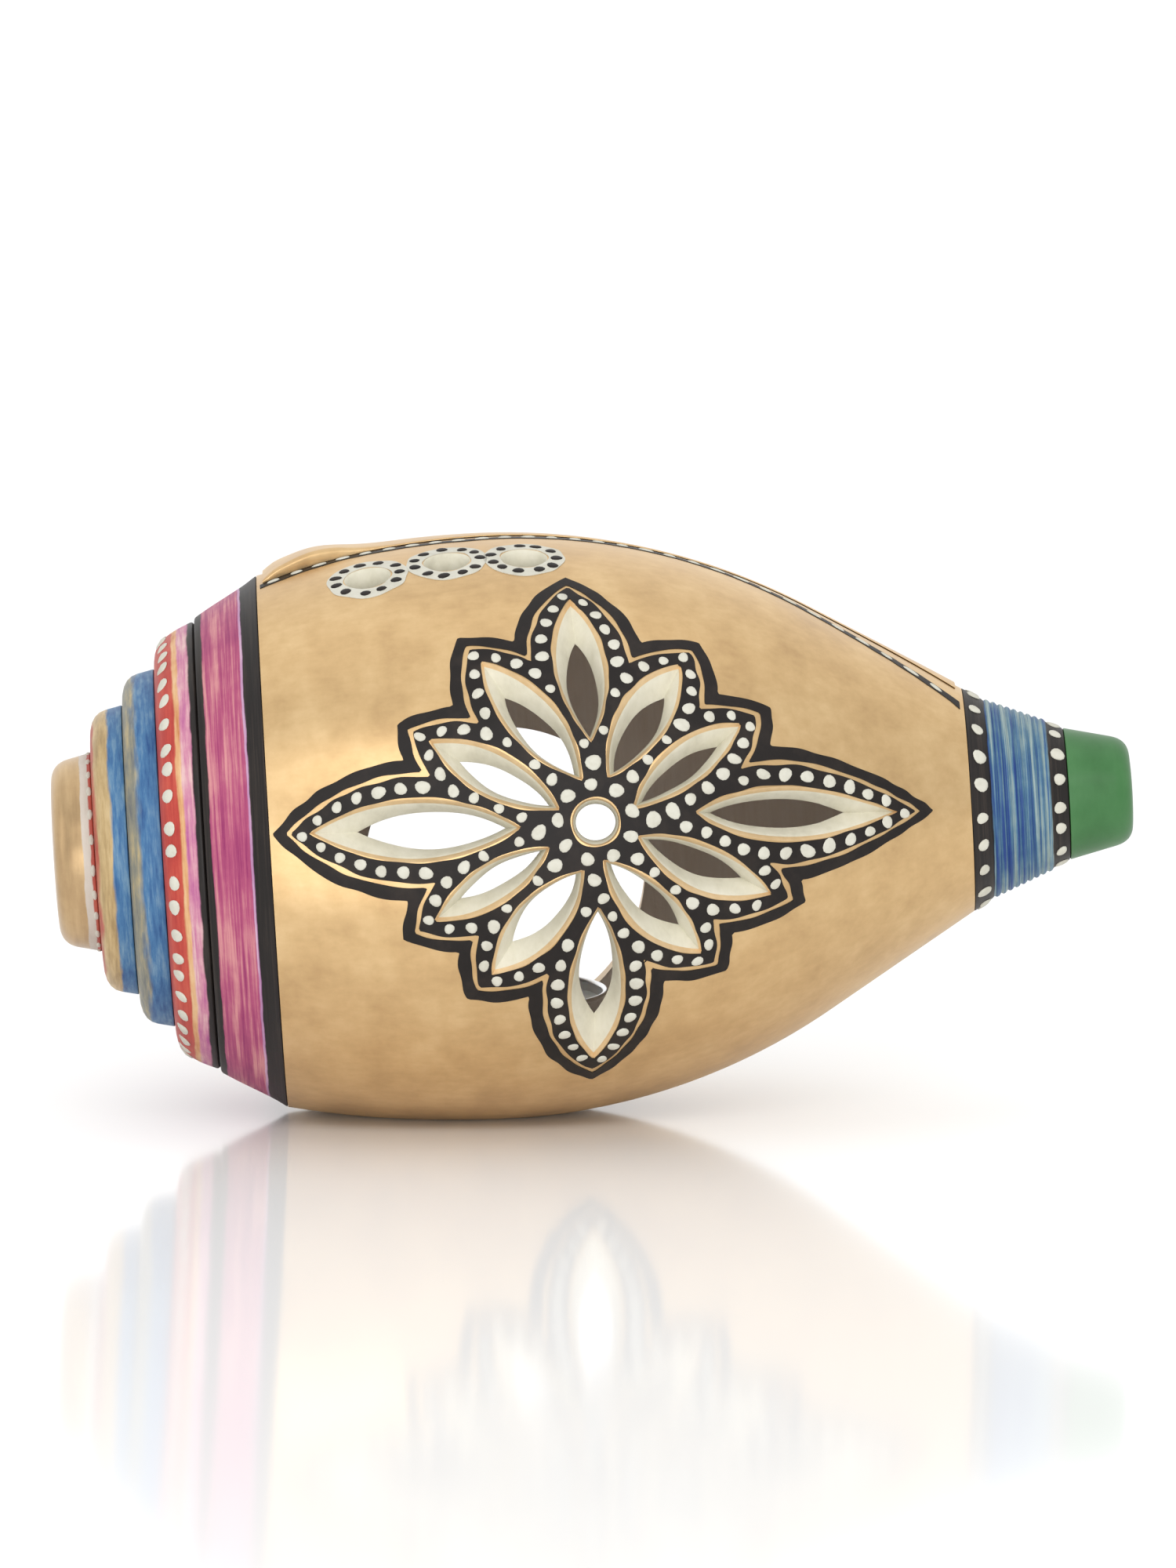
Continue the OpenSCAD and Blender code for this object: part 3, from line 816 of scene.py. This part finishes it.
# Places across the lip from its front edge, and the heights there where it is thick and thin.
stations = np.linspace(BODY_START + 1.1, BODY_END - 1.1, 120)
across = np.concatenate([[0, 0, 0.06, 0.22, 0.5, 0.9], np.linspace(1.6, ACROSS, 18)])
full = np.concatenate([[0, 0.35, 0.62, 0.82, 0.95, 1], np.ones(18)])
thin = np.concatenate([[0, 0.12, 0.22, 0.3, 0.35, 0.38], np.clip(0.38 + 0.62 * across[6:] / 11, 0, 1)])
points = []
for along in stations:
    radius = float(shell_r(along))
    start = float(lip_edge(along))
    width = (LIP_BACK - start) * radius
    stretched = EDGE_W + (across - EDGE_W) / (ACROSS - EDGE_W) * (width - EDGE_W)
    span = np.where(across < EDGE_W, across, stretched)
    fade = np.clip((width - span) / WIPED_W, 0, 1)
    flared = float(np.clip((-5 - along) / 10, 0, 1))
    heights = (flared * full + (1 - flared) * thin) * np.sin(fade * pi / 2)
    lift = LUTE + (float(lip_thickness(along)) - 0.25) * heights - 0.3 * (1 - fade) ** 2
    lift[0] = LUTE
    points.extend(place(np.full(len(span), along), start + span / radius, radius + lift))
    under = radius + np.array([-LUTE, 0.18])
    points.extend(place(np.full(2, along), np.array([LIP_BACK, start + 0.02]), under))
row = len(across) + 2
faces = []
for i in range(len(stations) - 1):
    faces.extend(band(i * row, (i + 1) * row, row))
faces.append(list(range(row)))
faces.append([(len(stations) - 1) * row + j for j in reversed(range(row))])
lip = shape("wiped_outer_lip", points, faces, [gold_paint])
smooth(lip, 50)
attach(lip, "shell")
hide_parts("outer_lip")

# ----------------------------------------
# Seam. A black line painted along the top with a row of small white dashes. It starts at the
# lip's edge and runs a little in front of it towards the neck.
# ----------------------------------------
SEAM_W = 2.1
SEAM_AHEAD = ((-14, 8, 60, 88), (0, 3.6, 6, 5))
DASH_STEP = 4.1


def seam_middle(along):
    """Angle of the line's middle."""
    ahead = SEAM_W / 2 - 0.05 + np.interp(along, *SEAM_AHEAD)
    return lip_edge(along) - ahead / shell_r(along)


def seam_field(along, angle):
    gap = np.abs(seam_middle(along) - angle) * shell_r(along)
    return SEAM_W / 2 - gap + by_hand(along, angle, 0.12)


seam = lay_paint("seam_line", seam_field, (BODY_START + 0.6, BODY_END - 0.4), (56, 106),
                 black_paint, step=0.4)
spots = []
for along in np.arange(BODY_START + 3, BODY_END - 2, DASH_STEP):
    slope = float(seam_middle(along + 0.5) - seam_middle(along - 0.5)) * float(shell_r(along))
    spots.append((along, float(seam_middle(along)), random.uniform(1.05, 1.45),
                  random.uniform(0.52, 0.66), slope))
dabs("seam_dashes", spots, shell_r, cream_paint, sides=10)

# ----------------------------------------
# Shoulder. The thrown ring that closes the body on the spire side. It is luted into the body
# with a spigot and painted in turning bands: black in the groove, magenta, a thin lilac line
# where the magenta runs out, and black up to the body.
# ----------------------------------------
SHOULDER_S = -41
SHOULDER_R = 40
SPIGOT_T = 3
start_r = float(shell_r(BODY_START))
spigot_r = start_bore - SPIGOT_GAP
MAGENTA = [(0.26, 0.028, 0.115), (0.385, 0.075, 0.16), (0.57, 0.24, 0.25)]
LILAC = [(0.30, 0.12, 0.27), (0.44, 0.24, 0.40), (0.58, 0.40, 0.52)]
PINK = [(0.39, 0.09, 0.25), (0.53, 0.22, 0.31), (0.66, 0.44, 0.43)]
shoulder = throw("thrown_shoulder", soften([
    (SHOULDER_S + 0.1, SHOULDER_R - WALL), (SHOULDER_S + 0.1, SHOULDER_R, 0.5),
    (SHOULDER_S + 2.5, SHOULDER_R + 1.5, 1.5), (BODY_START - 2.4, start_r - 1.6, 1.5),
    (BODY_START - 0.1, start_r, 0.3), (BODY_START - 0.1, spigot_r),
    (BODY_START + SPIGOT_L, spigot_r, 0.8), (BODY_START + SPIGOT_L, spigot_r - SPIGOT_T, 0.8),
    (BODY_START - 2, spigot_r - SPIGOT_T, 2), (SHOULDER_S + 5, SHOULDER_R - WALL, 2),
]), sides=200)
shoulder.data.materials.append(brushed("shoulder bands", [
    (-39.7, BLACK, 0, 0.42), (-33.0, MAGENTA, 0.05, 0.42), (-32.6, LILAC, 0.05, 0.42),
    (0, BLACK, 0, 0.42),
], streak=(0.5, 22), wobble=0.35, mottle=0.3, gloss=0.25, contrast=0.13))
smooth(shoulder)
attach(shoulder, "shell")
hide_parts("shoulder_ring")

# ----------------------------------------
# Large whorl. A thrown ring under the shoulder: a red band with a row of cream ovals on its
# rounded edge, a thin orange line, and a streaky pink zone that runs up to the black groove.
# ----------------------------------------
LARGE_S = -48.5
LARGE_R = 34.5
LARGE_BORE_R = 24.5
RED = [(0.34, 0.03, 0.025), (0.44, 0.05, 0.035), (0.52, 0.09, 0.055)]
ORANGE = [(0.50, 0.20, 0.07), (0.64, 0.36, 0.17), (0.72, 0.50, 0.28)]
large = throw("thrown_whorl_large", soften([
    (LARGE_S + 0.1, LARGE_BORE_R), (LARGE_S + 0.1, LARGE_R + 0.6, 3.2),
    (LARGE_S + 3.4, LARGE_R + 3.3, 2), (SHOULDER_S - 0.4, SHOULDER_R - 0.6, 0.5),
    (SHOULDER_S, SHOULDER_R - 1), (SHOULDER_S, SHOULDER_R - WALL - SPIGOT_GAP),
    (SHOULDER_S + SPIGOT_L, SHOULDER_R - WALL - SPIGOT_GAP, 0.6),
    (SHOULDER_S + SPIGOT_L, LARGE_BORE_R, 0.6),
]), sides=200)
large.data.materials.append(brushed("large whorl bands", [
    (-45.1, RED, 0, 0.4), (-44.2, ORANGE, 0.2, 0.4), (-42.3, PINK, 0, 0.45), (0, BLACK, 0, 0.42),
], streak=(0.6, 10), wobble=0.5, mottle=0.5, gloss=0.3, contrast=0.12, blend=0.2))
smooth(large)
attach(large, "shell")
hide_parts("spire_whorl_large")

# ----------------------------------------
# Middle and small whorls. Two thrown rings, each luted into the one before it. The wide brush
# leaves blue towards the body and gold on the side that faces the knob.
# ----------------------------------------
MIDDLE_S = -54.5
MIDDLE_R = 30.5
MIDDLE_BORE_R = 18.5
SMALL_S = -60.5
SMALL_R = 24.5
SMALL_BORE_R = 11.5
BLUE = [(0.018, 0.075, 0.22), (0.055, 0.16, 0.32), (0.17, 0.29, 0.40)]
GREY_GOLD = [(0.14, 0.15, 0.15), (0.26, 0.25, 0.19), (0.48, 0.38, 0.20)]
DULL_GOLD = [(0.36, 0.25, 0.12), (0.50, 0.36, 0.18), (0.62, 0.47, 0.26)]
RED_LINE = [(0.30, 0.045, 0.03), (0.42, 0.07, 0.045), (0.50, 0.17, 0.10)]


def throw_ring(name, start, radius, bore, end, seat_r, sides):
    """A thrown ring, rounded on the knob side, with a spigot in the bore of the ring before it."""
    return throw(name, soften([
        (start + 0.1, bore), (start + 0.1, radius - 0.3, 4.4), (end, radius + 1, 0.3),
        (end, seat_r - SPIGOT_GAP), (end + SPIGOT_L, seat_r - SPIGOT_GAP, 0.6),
        (end + SPIGOT_L, bore, 0.6),
    ]), sides=sides)


middle = throw_ring(
    "thrown_whorl_middle", MIDDLE_S, MIDDLE_R, MIDDLE_BORE_R, LARGE_S, LARGE_BORE_R, 180)
middle.data.materials.append(brushed("middle whorl paint", [
    (-52.3, GREY_GOLD, 0.4, 0.4), (0, BLUE, 0.1, 0.42),
], streak=(0.7, 6), wobble=1.6, mottle=0.4, gloss=0.35, blend=0.7, contrast=0.14, drift=(1.2, 9)))
small = throw_ring(
    "thrown_whorl_small", SMALL_S, SMALL_R, SMALL_BORE_R, MIDDLE_S, MIDDLE_BORE_R, 160)
small.data.materials.append(brushed("small whorl paint", [
    (-59.9, RED_LINE, 0, 0.4), (-57.2, DULL_GOLD, 0.65, 0.34), (0, BLUE, 0.1, 0.42),
], streak=(0.7, 6), wobble=0.8, mottle=0.4, gloss=0.35, blend=0.3, contrast=0.14, drift=(1.2, 8)))
for ring, node in ((middle, "spire_whorl_middle"), (small, "spire_whorl_small")):
    smooth(ring)
    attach(ring, "shell")
    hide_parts(node)

# ----------------------------------------
# Knob. A small solid cap that closes the spire, with a soft edge. Gold, with a whitish band and
# a thin red line with white dashes where it meets the small whorl.
# ----------------------------------------
KNOB_S = -68
KNOB_R = 17.5
WHITISH = [(0.45, 0.39, 0.32), (0.56, 0.51, 0.44), (0.64, 0.60, 0.54)]
KNOB_GOLD = [(0.36, 0.235, 0.125), (0.50, 0.345, 0.185), (0.62, 0.45, 0.25)]
knob = throw("thrown_knob", soften([
    (KNOB_S, 0), (KNOB_S + 0.05, KNOB_R * 0.55, 4), (KNOB_S + 0.5, KNOB_R - 1.6, 3),
    (SMALL_S, KNOB_R, 0.4), (SMALL_S, SMALL_BORE_R - SPIGOT_GAP),
    (SMALL_S + SPIGOT_L, SMALL_BORE_R - SPIGOT_GAP, 0.5), (SMALL_S + SPIGOT_L, 0),
], steps=8), sides=140, closed=False)
knob.data.materials.append(brushed("knob paint", [
    (-62.6, KNOB_GOLD, 0.85, 0.26), (-61.2, WHITISH, 0.1, 0.45), (0, RED_LINE, 0, 0.4),
], streak=(1.4, 14), wobble=0.5, mottle=0.55))
smooth(knob)
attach(knob, "shell")
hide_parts("apex_knob")

# ----------------------------------------
# Neck. A thrown tube with throwing ribs, luted onto the body's end. Blue with white and dark
# streaks, between two black bands that carry cream dots.
# ----------------------------------------
NECK_R = 17.2
BAND_L = 3.8
BAND_H = 0.35
NECK_END = 110.5
NECK_END_R = 11.6
TIP_BAND_L = 3.2
RIBS = 9
RIB_H = 0.4
TIP_BORE_R = 5.5
NECK_BLUE = [(0.012, 0.045, 0.19), (0.07, 0.165, 0.255), (0.29, 0.37, 0.35)]
ribbed = BODY_END + BAND_L
fall = (NECK_R - NECK_END_R) / (NECK_END - ribbed)
rib = (NECK_END - ribbed - 3) / RIBS
end_r = float(shell_r(BODY_END))
neck_outline = [
    (BODY_END + 0.1, TIP_BORE_R), (BODY_END + 0.1, end_r, 0.2), (ribbed - 0.3, NECK_R + BAND_H, 0.4)]
for i in range(RIBS):
    for share, height in ((0, -0.05), (0.3, RIB_H), (0.7, RIB_H)):
        past = rib * (i + share)
        neck_outline.append((ribbed + past, NECK_R - fall * past + height, 0.3))
neck_outline += [(NECK_END - 3, NECK_END_R + fall * 3, 0.3), (NECK_END - 0.1, NECK_END_R, 0.3),
                 (NECK_END - 0.1, TIP_BORE_R)]
neck = throw("thrown_neck", soften(neck_outline, steps=3), sides=160)
neck.data.materials.append(brushed("neck paint", [
    (ribbed - 0.1, BLACK, 0, 0.42), (NECK_END - TIP_BAND_L, NECK_BLUE, 0.05, 0.42),
    (0, BLACK, 0, 0.42),
], streak=(0.45, 36), wobble=0.3, mottle=0.25, gloss=0.3, relief=0.2, contrast=0.1))
smooth(neck, 60)
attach(neck, "shell")
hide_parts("neck")


def band_r(along):
    """Radius of the neck at its two dotted bands."""
    first = end_r + (along - BODY_END) / BAND_L * (NECK_R + BAND_H - end_r)
    second = NECK_END_R + (NECK_END - along) * fall
    return np.where(np.asarray(along) < ribbed, first, second)


NECK_DOT_R = 1.15
spots = []
for along, count in ((BODY_END + BAND_L / 2, 21), (NECK_END - TIP_BAND_L / 2, 16)):
    for i in range(count):
        turn = 2 * pi * (i + random.uniform(-0.12, 0.12)) / count
        size = NECK_DOT_R * random.uniform(0.85, 1.15)
        spots.append((along + random.uniform(-0.15, 0.15), turn, size * 0.95, size,
                      random.uniform(-0.4, 0.4)))
dabs("neck_dots", spots, band_r, cream_paint)

# ----------------------------------------
# Tip. The tapered end of the shell, closed and rounded over, painted in an even satin green.
# ----------------------------------------
TIP_END = 122
TIP_R = 8.6
TIP_SPIGOT_L = 7
GREEN = [(0.028, 0.115, 0.030), (0.042, 0.150, 0.045), (0.060, 0.185, 0.062)]
tip = throw("thrown_tip", soften([
    (NECK_END - TIP_SPIGOT_L, 0), (NECK_END - TIP_SPIGOT_L, TIP_BORE_R - SPIGOT_GAP),
    (NECK_END, TIP_BORE_R - SPIGOT_GAP), (NECK_END, NECK_END_R, 0.3),
    (TIP_END - 0.4, TIP_R + 0.4, 3), (TIP_END, TIP_R * 0.45, 3), (TIP_END, 0),
], steps=8), sides=140, closed=False)
tip.data.materials.append(brushed(
    "green paint", [(0, GREEN, 0, 0.33)], streak=(6, 14), mottle=0.6, gloss=0.35, relief=0.05))
smooth(tip)
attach(tip, "shell")
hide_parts("neck_tip")

# ----------------------------------------
# Dots on the spire. Cream ovals round the red band of the large whorl, and short white dashes
# on the red line between the knob and the small whorl.
# ----------------------------------------


def large_side_r(along):
    """Radius of the large whorl's rounded edge."""
    return LARGE_R + np.interp(along - LARGE_S, (0.1, 0.5, 1.5, 3.4), (-1.5, 0.35, 1.75, 3.1))


OVALS = 48
OVALS_S = -46.8
DASHES = 24
DASHES_S = -60.95
DASHES_SUNK = 0.25
spots = []
for i in range(OVALS):
    turn = 2 * pi * (i + random.uniform(-0.14, 0.14)) / OVALS
    spots.append((OVALS_S + random.uniform(-0.15, 0.15), turn, 0.95, random.uniform(1.15, 1.4),
                  random.uniform(-0.3, 0.1)))
dabs("spire_ovals", spots, large_side_r, cream_paint)
spots = []
for i in range(DASHES):
    turn = 2 * pi * (i + random.uniform(-0.14, 0.14)) / DASHES
    spots.append((DASHES_S, turn, 0.42, random.uniform(0.9, 1.25), 0))
dabs("knob_dashes", spots, lambda s: KNOB_R - DASHES_SUNK, cream_paint, sides=8)

# ----------------------------------------
# Tealight cup. A cup pressed from thin aluminium, with a rolled rim, shallow flutes down its
# side and a flat foot. It stands loose on the clay floor inside.
# ----------------------------------------
cup_low, cup_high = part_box("tealight_cup")
cup_x = (cup_low[0] + cup_high[0]) / 2
cup_y = (cup_low[1] + cup_high[1]) / 2
CUP_R = 19
CUP_H = 14
SHEET = 0.4
FLUTES = 48
FLUTE_DEPTH = 0.12
FLUTE_HALF_H = 5


def turn_up(name, outline, sides, closed=True):
    """Turns an outline of (radius, height) points round the tealight's own upright axis."""
    turned = turn_round(name, outline, sides, closed)
    turned.location = (cup_x, cup_y, cup_low[2])
    bpy.ops.object.transform_apply()
    return turned


def plain_finish(name, colour, metallic, roughness, grain, relief, **sockets):
    """A finish with a fine uneven surface: its colour varies a little with the grain."""
    finish = bpy.data.materials.new(name)
    finish.use_nodes = True
    tree = finish.node_tree
    shader = tree.nodes["Principled BSDF"]
    here = wire(tree, "ShaderNodeTexCoord", {}).outputs["Object"]
    fleck = wire(
        tree, "ShaderNodeTexNoise", {"Vector": here, "Scale": grain, "Detail": 5}).outputs["Fac"]
    dark = [c * 0.93 for c in colour]
    light = [min(c * 1.05, 1) for c in colour]
    tree.links.new(ramp(tree, fleck, [(0.3, dark), (0.7, light)]), shader.inputs["Base Color"])
    spread = wire(tree, "ShaderNodeMapRange", {
        "Value": fleck, "To Min": roughness - 0.08, "To Max": roughness + 0.1})
    tree.links.new(spread.outputs[0], shader.inputs["Roughness"])
    shader.inputs["Metallic"].default_value = metallic
    for socket, value in sockets.items():
        shader.inputs[socket.replace("_", " ")].default_value = value
    bump = wire(tree, "ShaderNodeBump", {"Strength": 0.4, "Distance": relief * MM, "Height": fleck})
    tree.links.new(bump.outputs[0], shader.inputs["Normal"])
    return finish


cup = turn_up("pressed_cup", soften([
    (0, 0.35), (CUP_R - 3, 0.35), (CUP_R - 2.4, 0), (CUP_R - 1, 0, 0.4), (CUP_R, 1, 0.6),
    (CUP_R, CUP_H - 1.2, 0.3), (CUP_R + 0.55, CUP_H - 0.9, 0.3), (CUP_R + 0.6, CUP_H - 0.3, 0.3),
    (CUP_R + 0.2, CUP_H, 0.3), (CUP_R - SHEET, CUP_H - 0.4, 0.3), (CUP_R - SHEET, 1.2, 0.3),
    (CUP_R - 1.2, SHEET), (0, SHEET + 0.3),
], steps=3), 192, closed=False)
for vertex in cup.data.vertices:
    from_axis = Vector((vertex.co.x - cup_x, vertex.co.y - cup_y))
    height = (vertex.co.z - cup_low[2]) / MM
    if from_axis.length <= (CUP_R - 1) * MM or height <= 2:
        continue
    turn = from_axis.angle_signed(Vector((1, 0)))
    depth = FLUTE_DEPTH * MM * max(0, 1 - abs(height - CUP_H / 2) / FLUTE_HALF_H) ** 0.5
    inward = from_axis.normalized() * depth * (0.5 + 0.5 * cos(FLUTES * turn))
    vertex.co.x -= inward.x
    vertex.co.y -= inward.y
cup.data.materials.append(plain_finish("pressed aluminium", (0.90, 0.91, 0.92), 1, 0.3, 300, 0.01))
smooth(cup)
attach(cup, "tealight")
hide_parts("tealight_cup")

# ----------------------------------------
# Wax. White paraffin poured into the cup. Its top has sunk a little towards the wick and creeps
# up where it meets the sheet.
# ----------------------------------------
WAX_R = CUP_R - SHEET - 0.1
WAX_H = CUP_H - 2.5
wax = turn_up("poured_wax", soften([
    (6.6, 0.5), (WAX_R - 1, 0.5, 0.3), (WAX_R, 1.5, 0.3), (WAX_R, WAX_H + 0.5, 0.2),
    (WAX_R - 0.8, WAX_H + 0.1, 0.5), (9, WAX_H - 0.05, 2), (3.5, WAX_H - 0.35, 1.5),
    (1.6, WAX_H - 0.6, 0.3), (1.5, 1), (6.6, 1),
], steps=4), 128)
wax.data.materials.append(plain_finish(
    "paraffin wax", (0.93, 0.915, 0.87), 0, 0.42, 160, 0.05,
    Subsurface_Weight=0.2, Subsurface_Scale=0.004))
smooth(wax)
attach(wax, "tealight")
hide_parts("tealight_wax")

# ----------------------------------------
# Wick and its tab. A tinned disc with a short tube crimped round a braided cotton wick. It lies
# at the bottom of the wax and holds the wick upright.
# ----------------------------------------
tab = turn_up("tinned_tab", soften([
    (0.92, 0.5), (5.4, 0.5), (6.1, 0.62, 0.2), (6.5, 0.5), (6.5, 0.9), (1.9, 0.9, 0.4), (1.4, 1.4, 0.3),
    (1.4, 5.4, 0.2), (0.92, 5.5, 0.1),
], steps=3), 64)
tab.data.materials.append(plain_finish("tinned steel", (0.62, 0.61, 0.58), 1, 0.35, 1200, 0.03))
smooth(tab)
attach(tab, "tealight")
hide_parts("wick_tab")

STRANDS = 3
STRAND_R = 0.42
STRAND_SWAY = 0.36
STRAND_SIDES = 8
WICK_TURNS = 5
WICK_STEPS = 70
wick_low, wick_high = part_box("wick")
strand_points = []
strand_faces = []
for strand in range(STRANDS):
    base = len(strand_points)
    for i in range(WICK_STEPS):
        t = i / (WICK_STEPS - 1)
        angle = 2 * pi * (WICK_TURNS * t + strand / STRANDS)
        taper = 1 - 0.25 * max(0, t - 0.9) / 0.1
        sway = STRAND_SWAY * MM * taper
        centre = Vector((cup_x + sway * cos(angle), cup_y + sway * sin(angle),
                         wick_low[2] + t * (wick_high[2] - wick_low[2])))
        for k in range(STRAND_SIDES):
            around = 2 * pi * k / STRAND_SIDES
            strand_points.append(centre + Vector((cos(around), sin(around), 0)) * STRAND_R * MM * taper)
    for i in range(WICK_STEPS - 1):
        low = base + i * STRAND_SIDES
        strand_faces.extend(band(low + STRAND_SIDES, low, STRAND_SIDES))
    strand_faces.append([base + k for k in reversed(range(STRAND_SIDES))])
    strand_faces.append([base + (WICK_STEPS - 1) * STRAND_SIDES + k for k in range(STRAND_SIDES)])
wick = shape("braided_wick", strand_points, strand_faces, [
    plain_finish("cotton", (0.84, 0.81, 0.72), 0, 0.9, 2500, 0.1)])
smooth(wick, 60)
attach(wick, "tealight")
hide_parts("wick")
